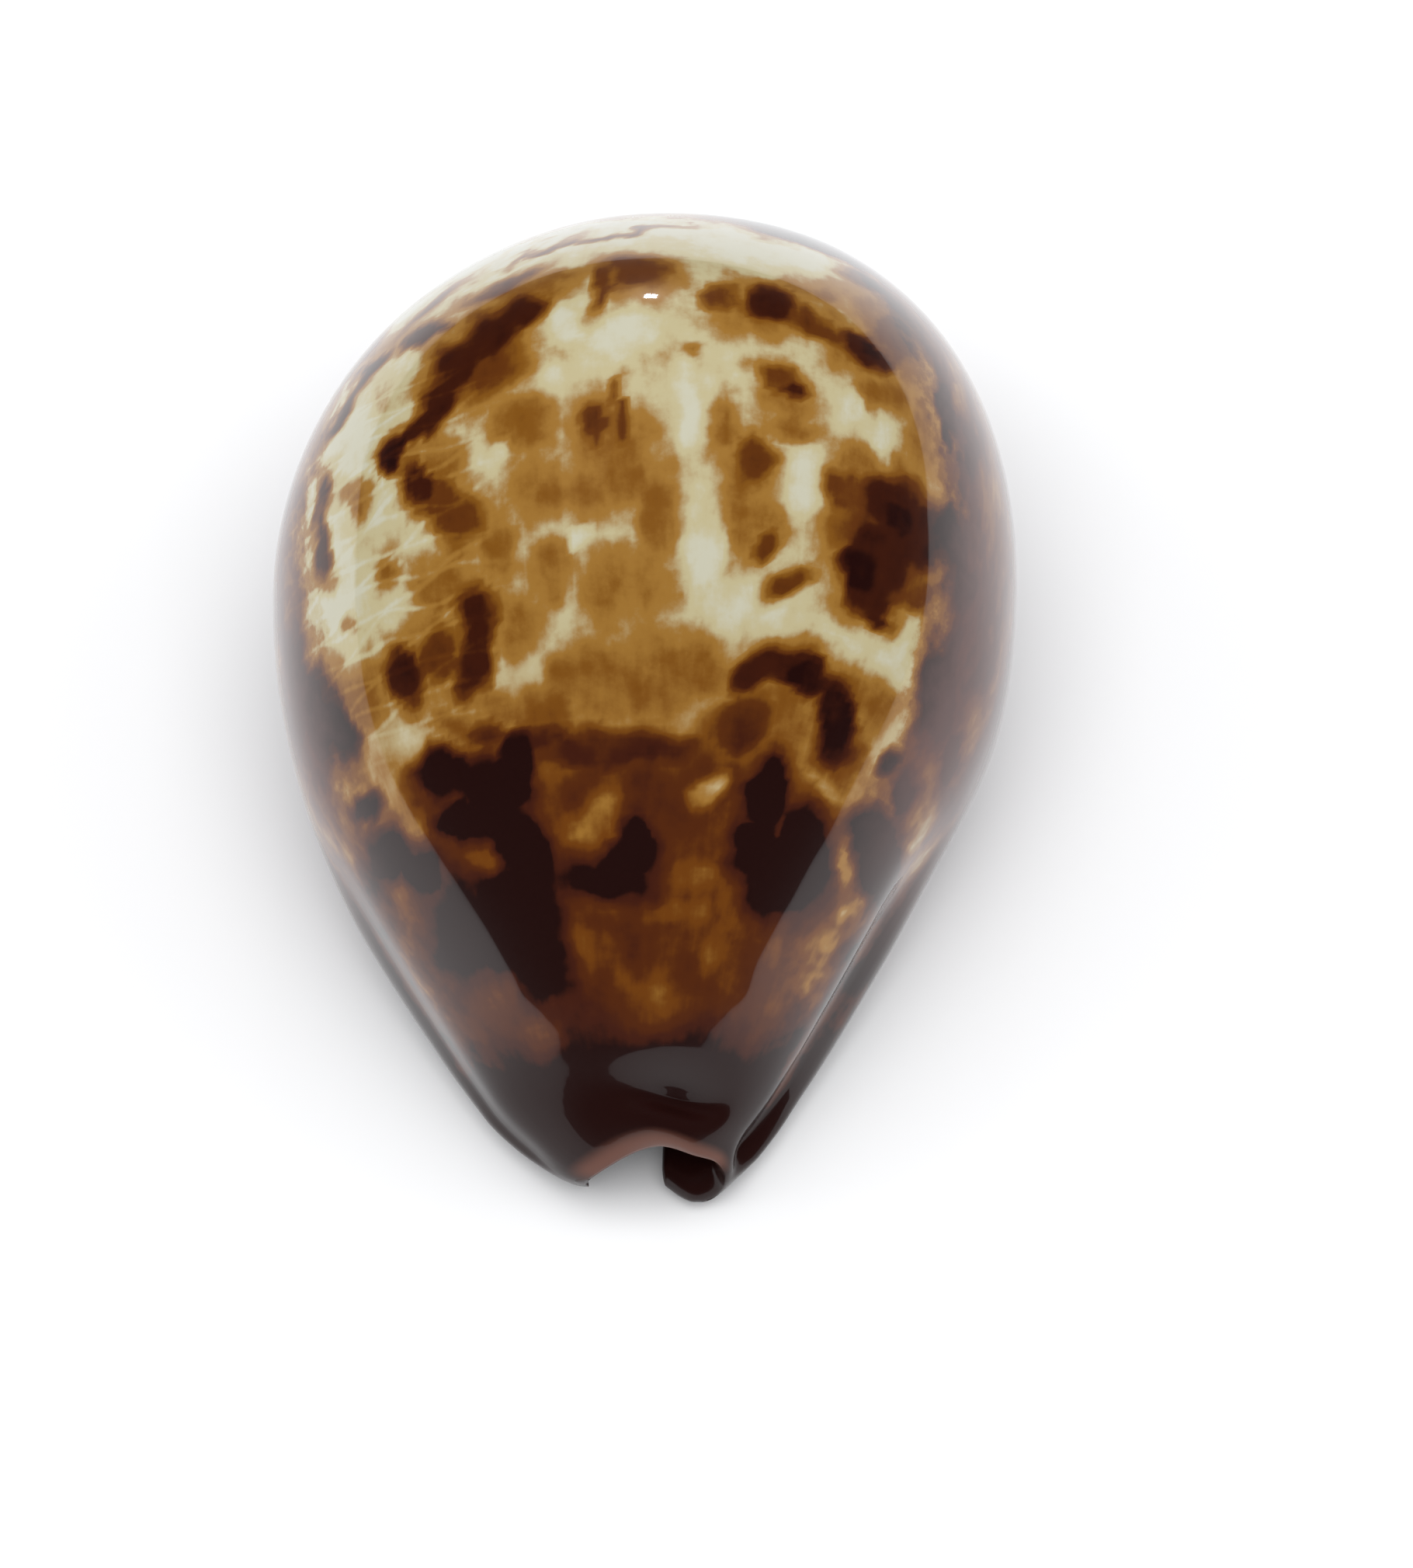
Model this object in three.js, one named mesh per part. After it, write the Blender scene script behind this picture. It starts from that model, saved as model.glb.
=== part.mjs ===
// The shell of a cowrie, Zoila decipiens, resting on its flat underside.
// Millimetres, +Z up. The length lies along Y: the narrow front end points to -Y and the broad back end to +Y.
// The underside's slit parts the outer lip, on the -X side, from the inner lip, on the +X side.
// The shell is one sheet of varying thickness, rolled round its hollow, so each cross-section is a closed loop:
// the outside from lip to lip over the back, one lip's rounded edge, the inside back again, and the other edge.
import * as THREE from "three";
import { mergeVertices } from "three/addons/utils/BufferGeometryUtils.js";

// Driving dimensions. Each outline is a list of [place along Y, value].
const backEnd = 26.5;
const frontEnd = -27.8;
const leftHalfWidth = [
  [-27.8, 5.7], [-23, 8.7], [-18, 12.3], [-12, 16.3], [-5, 19.0], [3, 20.05], [11, 19.5], [19, 17.6], [26.5, 14.0],
];
const rightHalfWidth = [
  [-27.8, 5.2], [-23, 7.6], [-18, 10.85], [-12, 14.75], [-5, 18.6], [3, 20.05], [11, 20.2], [19, 19.4], [26.5, 17.6],
];
const topHeight = [
  [-27.8, 8.7], [-25, 9.4], [-22, 12.15], [-18, 16.5], [-12, 22.2], [-5, 27.8], [3, 31.8], [11, 33.0], [19, 31.3], [26.5, 28.4],
];
const waistHeight = [[-27.8, 2.2], [-21, 3.95], [-14, 7.7], [-7, 9.9], [0, 10.5], [14, 12.0], [26.5, 11.5]];
const backPower = [[-27.8, 1.6], [-20, 2.07], [-10, 2.08], [26.5, 2.08]]; // the section's upper half: 2 is an ellipse
const undersidePower = 2.6;
const floorPower = 2.3;
const slitMiddle = [[-27.8, -0.45], [-15, -1.2], [0, -1.8], [12, -1.3], [20, 0.8], [26.5, 3.6]];
const slitHalfGap = [[-27.8, 1.35], [-20, 1.9], [-8, 1.7], [5, 1.4], [15, 1.2], [22, 1.2], [26.5, 1.4]];
const backCapLength = 24; // how far from each end the outside reaches its full section
const frontCapLength = 4.5;
const cavityEnds = { frontGap: 6, frontReach: 16, backGap: 3.2, backReach: 20 }; // from each end to the hollow
const sideThickness = 2.9;
const topThickness = 1.9;
const floorHeight = 4.2;
const whorlShare = 0.32; // how far up the inside's wall the inner whorl, a fold inside the inner lip, reaches
const rimRadius = 1.2;
const lipNose = { canal: 0.25, leftThin: 0.8, leftFull: 2.0, rightThin: 0.9, rightFull: 2.2 };
const lipRise = 3.2; // from the underside to where the inner lip runs into the inner whorl
const lipFlare = 1.1; // how far the outer lip's edge turns away from the slit at the front
const spire = { x: 5.5, z: 14, radius: 3.6, height: 0.8 }; // a low mound on the back, under the glaze
const flatDepth = 0.7; // how much of the rounded underside is planed off where it rests
const toothCount = 24; // along each lip
const toothedLength = [-21.5, 19.5];
const grooveDepth = 0.6;
const toothReach = { left: 1.87, right: 1.92 }; // the outer lip's teeth run further out over the underside

// The front end's relief: a hollow behind the rim, a low ridge beside it, and swells and creases down the margins,
// as [place round the section, width, distance in X].
const rimHollow = { x: 1.85, y: -25.4, across: 2.5, along: 0.97, depth: 1.6 };
const rimRidge = { place: 0.62, width: 0.2, height: 0.5 };
const frontMargins = [[-1.35, 0.25, -0.23], [-0.98, 0.14, 0.44], [1.0, 0.14, -1.02], [1.35, 0.25, 0.43]];

// Where along Y each end's own shapes begin.
const liftFrom = { front: -18, back: 14 };
const notchFrom = { front: -20.5, back: 19.5 };
const flareFrom = -24.5;
const ridgeSpan = [-19, -25.5];
const marginSpan = [-8, -15];

// The canal at each end: its mouth, where the outside and the inside meet in the rim, and the bore within.
// The bore's sides are measured from the middle of the slit.
const frontMouth = { left: -2.9, right: 4.25, topX: 0.95, top: 5.75, waist: 3.25, lift: 0.9 };
const frontCanal = { left: -3.2, right: 4.2, topX: 1.3, top: 4.3, waist: 2.9, floor: 1.9 };
const backMouth = { left: 0.7, right: 6.5, topX: 3.6, top: 7.4, waist: 4.9, lift: 2.9 };
const backCanal = { left: -2.7, right: 2.6, topX: 0, top: 6.2, waist: 4.8, floor: 4.1 };

// How far each rim is set back round its mouth, by place round the section: -2 and 2 at the lips, 0 on top.
const frontNotch = [
  [-2, 2.1], [-1.7, 1.8], [-1.4, 1.05], [-1.1, 0.55], [-0.8, 0.5], [-0.4, 0.95], [0, 1.4], [0.4, 1.15], [0.8, 1.15],
  [1.1, 0.7], [1.4, 0.6], [1.7, 0.3], [2, 1.2],
];
const backNotch = [[-2, 0.5], [-1, 0], [0, 1.1], [1, 0], [2, 0.5]];

// Facets: intervals in each quarter of the outside or inside, in each lip's edge, and along the ends.
const lowerSteps = 7;
const upperSteps = 8;
const lipSteps = 3;
const frontSteps = 8;
const backSteps = 9;
const stepsPerTooth = 2;

const mix = (a, b, share) => a + (b - a) * share;
const clamp = (t) => Math.min(Math.max(t, 0), 1);
const bump = (x, centre, width) => Math.exp(-(((x - centre) / width) ** 2));

function smooth(from, to, x) {
  const t = clamp((x - from) / (to - from));
  return t * t * (3 - 2 * t);
}

// A quarter circle's rise from 0 to 1 over the reach.
function capRise(distance, reach) {
  const t = clamp(distance / reach);
  return Math.sqrt(1 - (1 - t) ** 2);
}

// A natural cubic spline through the points.
function smoothLine(points) {
  const last = points.length - 1;
  const gap = points.slice(1).map((p, i) => p[0] - points[i][0]);
  const slope = gap.map((g, i) => (points[i + 1][1] - points[i][1]) / g);
  const bend = new Array(last + 1).fill(0);
  const carry = new Array(last + 1).fill(0);
  const part = new Array(last + 1).fill(0);
  for (let i = 1; i < last; i++) {
    const pivot = 2 * (gap[i - 1] + gap[i]) - gap[i - 1] * carry[i - 1];
    carry[i] = gap[i] / pivot;
    part[i] = (6 * (slope[i] - slope[i - 1]) - gap[i - 1] * part[i - 1]) / pivot;
  }
  for (let i = last - 1; i > 0; i--) bend[i] = part[i] - carry[i] * bend[i + 1];
  return (at) => {
    const x = Math.min(Math.max(at, points[0][0]), points[last][0]);
    let i = 0;
    while (i < last - 1 && x > points[i + 1][0]) i++;
    const b = (x - points[i][0]) / gap[i];
    const a = 1 - b;
    const curve = ((a ** 3 - a) * bend[i] + (b ** 3 - b) * bend[i + 1]) * (gap[i] ** 2 / 6);
    return a * points[i][1] + b * points[i + 1][1] + curve;
  };
}

const leftAt = smoothLine(leftHalfWidth);
const rightAt = smoothLine(rightHalfWidth);
const topAt = smoothLine(topHeight);
const waistAt = smoothLine(waistHeight);
const slitAt = smoothLine(slitMiddle);
const gapAt = smoothLine(slitHalfGap);
const powerAt = smoothLine(backPower);
const frontNotchAt = smoothLine(frontNotch);
const backNotchAt = smoothLine(backNotch);

// A point on a quarter of a superellipse: [share of the way to the side, share of the way to the pole].
function quarter(angle, power) {
  const c = Math.abs(Math.cos(angle));
  const s = Math.abs(Math.sin(angle));
  const reach = (c ** power + s ** power) ** (-1 / power);
  return [reach * c, reach * s];
}

const endDistance = (y) => Math.min(backEnd - y, y - frontEnd);
const rimShare = (y) => 1 - capRise(endDistance(y), rimRadius);

function cavityShare(y) {
  const { frontGap, frontReach, backGap, backReach } = cavityEnds;
  return capRise(backEnd - backGap - y, backReach) * capRise(y - frontEnd - frontGap, frontReach);
}

function undersideAt(y) {
  const front = frontMouth.lift * smooth(liftFrom.front, frontEnd, y);
  return front + backMouth.lift * smooth(liftFrom.back, backEnd, y);
}

// The widest, highest and waist places of the outside's section at y.
function outerFrame(y) {
  const share = capRise(backEnd - y, backCapLength) * capRise(y - frontEnd, frontCapLength);
  const mouth = y > 0 ? backMouth : frontMouth;
  return {
    left: mix(mouth.left, -leftAt(y), share),
    right: mix(mouth.right, rightAt(y), share),
    topX: mix(mouth.topX, 0, share),
    top: mix(mouth.top, topAt(y), share),
    waist: mix(mouth.waist, waistAt(y), share),
  };
}

function innerFrame(y) {
  const share = cavityShare(y);
  const canal = y > 0 ? backCanal : frontCanal;
  const slit = slitAt(y);
  return {
    left: mix(slit + canal.left, sideThickness - leftAt(y), share),
    right: mix(slit + canal.right, rightAt(y) - sideThickness, share),
    topX: mix(slit + canal.topX, 0, share),
    top: mix(canal.top, topAt(y) - topThickness, share),
    waist: mix(canal.waist, waistAt(y) + 1, share),
    floor: mix(canal.floor, floorHeight, share),
  };
}

// The slit's two edges, and how far each lip's rounded edge stands out.
function lipFrame(y) {
  const full = smooth(0, 5, endDistance(y));
  const fold = smooth(0.05, 0.6, cavityShare(y)); // 1 where the inner lip runs up into the inner whorl
  return {
    left: slitAt(y) - gapAt(y) - lipFlare * smooth(flareFrom, frontEnd, y),
    right: slitAt(y) + gapAt(y),
    leftNose: mix(lipNose.canal, mix(lipNose.leftThin, lipNose.leftFull, fold), full),
    rightNose: mix(lipNose.canal, mix(lipNose.rightThin, lipNose.rightFull, fold), full),
    fold,
  };
}

// The places where the teeth's grooves are cut: 1 in the middle of a groove, 0 on a tooth.
function grooveAt(y) {
  const [first, last] = toothedLength;
  const phase = ((y - first) / (last - first)) * toothCount;
  const ends = smooth(first - 2, first + 1.5, y) * smooth(last + 2, last - 1.5, y);
  return grooveDepth * ends * (0.5 - 0.5 * Math.cos(2 * Math.PI * phase));
}

// The outside at y. The place a runs from -2, at the outer lip, over 0 on top to 2 at the inner lip.
function outerPoint(y, a) {
  const frame = outerFrame(y);
  const lips = lipFrame(y);
  const under = undersideAt(y);
  const side = a < 0 ? frame.left : frame.right;
  const upper = Math.abs(a) <= 1;
  let x;
  let z;
  if (upper) {
    const [out, up] = quarter(((1 - Math.abs(a)) * Math.PI) / 2, powerAt(y));
    x = mix(frame.topX, side, out);
    z = mix(frame.waist, frame.top, up);
    z -= rimHollow.depth * bump(y, rimHollow.y, rimHollow.along) * bump(x, rimHollow.x, rimHollow.across);
  } else {
    const edge = a < 0 ? lips.left - lips.leftNose : lips.right + lips.rightNose;
    const [out, down] = quarter(((Math.abs(a) - 1) * Math.PI) / 2, undersidePower);
    x = mix(edge, side, out);
    z = Math.max(mix(frame.waist, under - flatDepth, down), under);
    const reach = a < 0 ? toothReach.left : toothReach.right;
    z += grooveAt(y) * smooth(reach, 2, Math.abs(a));
  }
  const nearRim = smooth(frontEnd, ridgeSpan[1], y);
  z += smooth(...ridgeSpan, y) * nearRim * rimRidge.height * bump(a, rimRidge.place, rimRidge.width);
  for (const [at, width, push] of frontMargins) {
    x += smooth(...marginSpan, y) * nearRim * push * bump(a, at, width);
  }
  return [x, z];
}

// The rounded edge of the inner (side 1) or outer (side -1) lip, from the underside (t = 0) up to the inside (t = 1).
function lipPoint(y, side, t) {
  const lips = lipFrame(y);
  const under = undersideAt(y);
  const floor = innerFrame(y).floor;
  const nose = side > 0 ? lips.rightNose : lips.leftNose;
  const edge = side > 0 ? lips.right : lips.left;
  const cut = grooveAt(y);
  const half = t * Math.PI;
  const fold = side > 0 ? lips.fold : 0;
  const x = mix(nose - nose * Math.sin(half), nose - nose * Math.sin(half / 2), fold);
  const z = mix((floor - under) * (1 - Math.cos(half)) / 2, lipRise * (1 - Math.cos(half / 2)), fold);
  const left = cut * (1 - smooth(0.5, 1, t));
  return [edge + side * (x + left * Math.sin(half)), under + z + left * Math.cos(half / 2)];
}

// The inside at y, by the same places round the section as the outside.
function innerPoint(y, a) {
  const frame = innerFrame(y);
  const lips = lipFrame(y);
  const whorlAngle = Math.asin(whorlShare * cavityShare(y) ** 2);
  const side = a < 0 ? frame.left : frame.right;
  const wallPoint = (angle) => {
    const [out, up] = quarter(angle, powerAt(y));
    return [mix(frame.topX, side, out), mix(frame.waist, frame.top, up)];
  };
  if (Math.abs(a) <= 1) return wallPoint(mix(Math.PI / 2, a < 0 ? 0 : whorlAngle, Math.abs(a)));
  const [out, down] = quarter(((Math.abs(a) - 1) * Math.PI) / 2, floorPower);
  const edge = a < 0 ? lips.left - lips.leftNose : lips.right + lips.rightNose;
  const hollow = [mix(edge, side, out), mix(frame.waist, frame.floor, down)];
  if (a < 0) return hollow;
  const [meetX, meetZ] = wallPoint(whorlAngle);
  const turn = ((2 - a) * Math.PI) / 2;
  const start = undersideAt(y) + lipRise;
  const whorl = [mix(lips.right, meetX, 1 - Math.cos(turn)), mix(start, meetZ, Math.sin(turn))];
  return [mix(hollow[0], whorl[0], lips.fold), mix(hollow[1], whorl[1], lips.fold)];
}

// The places round the section, closer together near the lips.
function placesRound() {
  const places = [];
  for (let i = 0; i <= lowerSteps; i++) places.push(-2 + (i / lowerSteps) ** 1.5);
  for (let i = 1; i <= upperSteps; i++) places.push(-1 + i / upperSteps);
  const mirrored = places.slice(0, -1).reverse().map((a) => -a);
  return [...places, ...mirrored];
}

function placesAlong() {
  const [first, last] = toothedLength;
  const steps = toothCount * stepsPerTooth;
  const places = [];
  for (let i = frontSteps; i > 0; i--) places.push(first - (first - frontEnd) * (1 - (1 - i / frontSteps) ** 2));
  for (let i = 0; i <= steps; i++) places.push(mix(first, last, i / steps));
  for (let i = 1; i <= backSteps; i++) places.push(last + (backEnd - last) * (1 - (1 - i / backSteps) ** 2));
  return places;
}

// One closed loop round the section at y, each end's rim set back by its notch.
function sectionLoop(y, round) {
  const rim = rimShare(y);
  const front = smooth(notchFrom.front, frontEnd, y);
  const back = smooth(notchFrom.back, backEnd, y);
  const setBack = (a) => y + front * frontNotchAt(a) - back * backNotchAt(a);
  const toRim = ([x, z], a) => {
    const [rimX, rimZ] = outerPoint(y, a);
    return [mix(x, rimX, rim), setBack(a), mix(z, rimZ, rim)];
  };
  const swell = ([x, along, z]) => {
    const mound = bump(x, spire.x, spire.radius) * bump(z, spire.z, spire.radius);
    return [x, along + spire.height * mound * smooth(17, 21, along) * (1 - rim), z];
  };
  const loop = round.map((a) => swell(toRim(outerPoint(y, a), a)));
  for (let i = 1; i < lipSteps; i++) loop.push(toRim(lipPoint(y, 1, i / lipSteps), 2));
  for (const a of [...round].reverse()) loop.push(toRim(innerPoint(y, a), a));
  for (let i = lipSteps - 1; i > 0; i--) loop.push(toRim(lipPoint(y, -1, i / lipSteps), -2));
  return loop;
}

// A skin over the loops, its box centred on the origin and standing on z = 0.
// At both rims the loops close on themselves, so faces with no area are left out.
function shellGeometry() {
  const round = placesRound();
  const loops = placesAlong().map((y) => sectionLoop(y, round));
  const count = loops[0].length;
  const sheet = new THREE.BufferGeometry();
  sheet.setAttribute("position", new THREE.Float32BufferAttribute(loops.flat(2), 3));
  const corners = [];
  for (let row = 0; row + 1 < loops.length; row++) {
    for (let i = 0; i < count; i++) {
      const here = row * count + i;
      const next = row * count + ((i + 1) % count);
      corners.push(here, next, next + count, here, next + count, here + count);
    }
  }
  sheet.setIndex(corners);
  const merged = mergeVertices(sheet, 1e-3);
  const index = merged.index.array;
  const kept = [];
  for (let i = 0; i < index.length; i += 3) {
    const [p, q, r] = [index[i], index[i + 1], index[i + 2]];
    if (p !== q && q !== r && r !== p) kept.push(p, q, r);
  }
  merged.setIndex(kept);
  merged.computeBoundingBox();
  const middle = merged.boundingBox.getCenter(new THREE.Vector3());
  merged.translate(-middle.x, -middle.y, -merged.boundingBox.min.z);
  merged.computeVertexNormals();
  return merged;
}

const shellMaterial = new THREE.MeshStandardMaterial({ color: 0x8a5a20, roughness: 0.15, metalness: 0 });
const shell = new THREE.Mesh(shellGeometry(), shellMaterial);
shell.name = "shell";

const part = new THREE.Group();
part.add(shell);

export default part;
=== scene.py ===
import math
from functools import lru_cache
import bmesh
import bpy
from mathutils import Matrix, Vector, noise
from mathutils.bvhtree import BVHTree
from mathutils.kdtree import KDTree


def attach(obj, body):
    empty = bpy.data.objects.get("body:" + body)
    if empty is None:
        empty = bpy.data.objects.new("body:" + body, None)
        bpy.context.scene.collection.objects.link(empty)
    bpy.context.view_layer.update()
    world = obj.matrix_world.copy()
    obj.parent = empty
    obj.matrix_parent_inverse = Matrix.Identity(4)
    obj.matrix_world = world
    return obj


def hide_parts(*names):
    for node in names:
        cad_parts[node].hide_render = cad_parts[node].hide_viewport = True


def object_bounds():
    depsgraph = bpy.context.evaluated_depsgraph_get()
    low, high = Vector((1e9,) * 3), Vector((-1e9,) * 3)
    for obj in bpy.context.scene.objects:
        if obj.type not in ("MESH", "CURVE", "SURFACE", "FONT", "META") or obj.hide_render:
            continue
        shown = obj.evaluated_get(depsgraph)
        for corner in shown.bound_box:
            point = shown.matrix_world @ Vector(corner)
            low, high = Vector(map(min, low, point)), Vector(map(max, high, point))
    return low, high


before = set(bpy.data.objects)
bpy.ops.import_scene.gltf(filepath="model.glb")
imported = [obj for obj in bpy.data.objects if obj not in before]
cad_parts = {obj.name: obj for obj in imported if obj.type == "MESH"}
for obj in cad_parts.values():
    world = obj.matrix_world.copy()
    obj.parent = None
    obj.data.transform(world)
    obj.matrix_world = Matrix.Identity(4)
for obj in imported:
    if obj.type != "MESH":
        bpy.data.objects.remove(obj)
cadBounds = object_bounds()
print("CAD model loaded")

mm = 0.001

# The shell's outlines in millimetres, as lists of (place along the length, value).
# The length runs along Y, front end at -Y; the outer lip is on the -X side.
form = {
    "frontEnd": -27.8,
    "backEnd": 26.5,
    "left": [
        (-27.8, 5.7), (-23, 8.7), (-18, 12.3), (-12, 16.3), (-5, 19.0), (3, 20.05), (11, 19.5), (19, 17.6),
        (26.5, 14.0),
    ],
    "right": [
        (-27.8, 5.2), (-23, 7.6), (-18, 10.85), (-12, 14.75), (-5, 18.6), (3, 20.05), (11, 20.2), (19, 19.4),
        (26.5, 17.6),
    ],
    "top": [
        (-27.8, 8.7), (-25, 9.4), (-22, 12.15), (-18, 16.5), (-12, 22.2), (-5, 27.8), (3, 31.8), (11, 33.0),
        (19, 31.3), (26.5, 28.4),
    ],
    "waist": [(-27.8, 2.2), (-21, 3.95), (-14, 7.7), (-7, 9.9), (0, 10.5), (14, 12.0), (26.5, 11.5)],
    "power": [(-27.8, 1.6), (-20, 2.07), (-10, 2.08), (26.5, 2.08)],  # 2 is an ellipse
    "slit": [(-27.8, -0.45), (-15, -1.2), (0, -1.8), (12, -1.3), (20, 0.8), (26.5, 3.6)],
    "gap": [(-27.8, 1.35), (-20, 1.9), (-8, 1.7), (5, 1.4), (15, 1.2), (22, 1.2), (26.5, 1.4)],
    "frontCap": 4.5,
    "backCap": 24,
    "undersidePower": 2.6,
    "floorPower": 2.3,
    "flat": 0.7,
    "shift": (-0.0199, 0.4524),  # to the middle of the CAD model's box
}
wall = {
    "side": 2.9,
    "top": 1.9,
    "floor": 4.2,
    "rim": 1.2,
    "waistLift": 1,
    "whorl": 0.32,  # the sine of the angle where the inner whorl meets the wall
}
cavity = {"frontGap": 6, "frontReach": 16, "backGap": 3.2, "backReach": 20}
lipNose = {
    "canal": 0.25,
    "canalLength": 5,
    "leftThin": 0.8,
    "leftFull": 2.0,
    "rightThin": 0.9,
    "rightFull": 2.2,
    "foldFrom": 0.05,  # shares of the hollow between which the inner lip folds up into the inner whorl
    "foldFull": 0.6,
}
lip = {"rise": 3.2, "flare": 1.1, "flareFrom": -24.5, "grooveFade": 0.5}
mouths = {  # the outside at the two ends
    "front": {"left": -2.9, "right": 4.25, "topX": 0.95, "top": 5.75, "waist": 3.25},
    "back": {"left": 0.7, "right": 6.5, "topX": 3.6, "top": 7.4, "waist": 4.9},
}
lifts = {  # the underside's raised ends
    "front": {"height": 0.9, "from": -18},
    "back": {"height": 2.9, "from": 14},
}
canals = {  # the inside at the two ends
    "front": {"left": -3.2, "right": 4.2, "topX": 1.3, "top": 4.3, "waist": 2.9, "floor": 1.9},
    "back": {"left": -2.7, "right": 2.6, "topX": 0, "top": 6.2, "waist": 4.8, "floor": 4.1},
}
notches = {  # how far the ends are set in, by place round the shell
    "front": [
        (-2, 2.1), (-1.7, 1.8), (-1.4, 1.05), (-1.1, 0.55), (-0.8, 0.5), (-0.4, 0.95), (0, 1.4), (0.4, 1.15),
        (0.8, 1.15), (1.1, 0.7), (1.4, 0.6), (1.7, 0.3), (2, 1.2),
    ],
    "back": [(-2, 0.5), (-1, 0), (0, 1.1), (1, 0), (2, 0.5)],
}
notchFrom = {"front": -20.5, "back": 19.5}
rimHollow = {"x": 1.85, "y": -25.4, "across": 2.5, "along": 0.97, "depth": 1.6}
rimRidge = {"place": 0.62, "width": 0.2, "height": 0.5, "from": -19, "full": -25.5}
frontMargins = {
    "from": -8,
    "full": -15,
    # place, width, push
    "pushes": [(-1.35, 0.25, -0.23), (-0.98, 0.14, 0.44), (1.0, 0.14, -1.02), (1.35, 0.25, 0.43)],
}
spire = {"x": 5.5, "z": 14, "radius": 3.6, "height": 0.8, "from": 17, "full": 21}
teeth = {
    "count": 24,
    "first": -21.5,
    "last": 19.5,
    "depth": 0.6,
    "leftReach": 1.87,
    "rightReach": 1.92,
    "fadeOutside": 2,
    "fadeInside": 1.5,
}
grid = {
    "perTooth": 6,
    "front": 28,
    "back": 28,
    "lower": 34,
    "upper": 72,
    "lip": 10,
    "lipCrowding": 1.5,
    "endCrowding": 2,
    "liningEdge": 1.9,  # the lining's colour starts this far round
    "seamGap": 2e-6,
    "shortEdge": 1e-6,
}


def mix(a, b, share):
    return a + (b - a) * share


def smooth(start, end, x):
    t = min(max((x - start) / (end - start), 0), 1)
    return t * t * (3 - 2 * t)


def capRise(distance, reach):  # rises to 1 as a quarter circle does
    t = min(max(distance / reach, 0), 1)
    return math.sqrt(1 - (1 - t) ** 2)


def bump(x, centre, width):
    return math.exp(-(((x - centre) / width) ** 2))


def smoothLine(points):  # a natural cubic curve through the points
    xs = [p[0] for p in points]
    ys = [p[1] for p in points]
    last = len(points) - 1
    gap = [xs[i + 1] - xs[i] for i in range(last)]
    slope = [(ys[i + 1] - ys[i]) / gap[i] for i in range(last)]
    bend = [0.0] * (last + 1)
    carry = [0.0] * (last + 1)
    part = [0.0] * (last + 1)
    for i in range(1, last):
        pivot = 2 * (gap[i - 1] + gap[i]) - gap[i - 1] * carry[i - 1]
        carry[i] = gap[i] / pivot
        part[i] = (6 * (slope[i] - slope[i - 1]) - gap[i - 1] * part[i - 1]) / pivot
    for i in range(last - 1, 0, -1):
        bend[i] = part[i] - carry[i] * bend[i + 1]

    def at(x):
        x = min(max(x, xs[0]), xs[-1])
        i = 0
        while i < last - 1 and x > xs[i + 1]:
            i += 1
        b = (x - xs[i]) / gap[i]
        a = 1 - b
        curve = ((a ** 3 - a) * bend[i] + (b ** 3 - b) * bend[i + 1]) * gap[i] ** 2 / 6
        return a * ys[i] + b * ys[i + 1] + curve

    return at


lineNames = ("left", "right", "top", "waist", "power", "slit", "gap")
line = {name: smoothLine(form[name]) for name in lineNames}
notchLine = {name: smoothLine(points) for name, points in notches.items()}


def quarter(angle, power):  # a quarter of a superellipse: share to the side, share to the pole
    c = abs(math.cos(angle))
    s = abs(math.sin(angle))
    reach = (c ** power + s ** power) ** (-1 / power)
    return reach * c, reach * s


def endDistance(y):
    return min(form["backEnd"] - y, y - form["frontEnd"])


@lru_cache(None)
def rimShare(y):
    return 1 - capRise(endDistance(y), wall["rim"])


@lru_cache(None)
def cavityShare(y):
    back = capRise(form["backEnd"] - cavity["backGap"] - y, cavity["backReach"])
    return back * capRise(y - form["frontEnd"] - cavity["frontGap"], cavity["frontReach"])


@lru_cache(None)
def undersideAt(y):
    front, back = lifts["front"], lifts["back"]
    lift = front["height"] * smooth(front["from"], form["frontEnd"], y)
    return lift + back["height"] * smooth(back["from"], form["backEnd"], y)


@lru_cache(None)
def outerFrame(y):
    share = capRise(form["backEnd"] - y, form["backCap"]) * capRise(y - form["frontEnd"], form["frontCap"])
    mouth = mouths["back" if y > 0 else "front"]
    return {
        "left": mix(mouth["left"], -line["left"](y), share),
        "right": mix(mouth["right"], line["right"](y), share),
        "topX": mix(mouth["topX"], 0, share),
        "top": mix(mouth["top"], line["top"](y), share),
        "waist": mix(mouth["waist"], line["waist"](y), share),
    }


@lru_cache(None)
def innerFrame(y):
    share = cavityShare(y)
    canal = canals["back" if y > 0 else "front"]
    slit = line["slit"](y)
    return {
        "left": mix(slit + canal["left"], wall["side"] - line["left"](y), share),
        "right": mix(slit + canal["right"], line["right"](y) - wall["side"], share),
        "topX": mix(slit + canal["topX"], 0, share),
        "top": mix(canal["top"], line["top"](y) - wall["top"], share),
        "waist": mix(canal["waist"], line["waist"](y) + wall["waistLift"], share),
        "floor": mix(canal["floor"], wall["floor"], share),
    }


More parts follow.
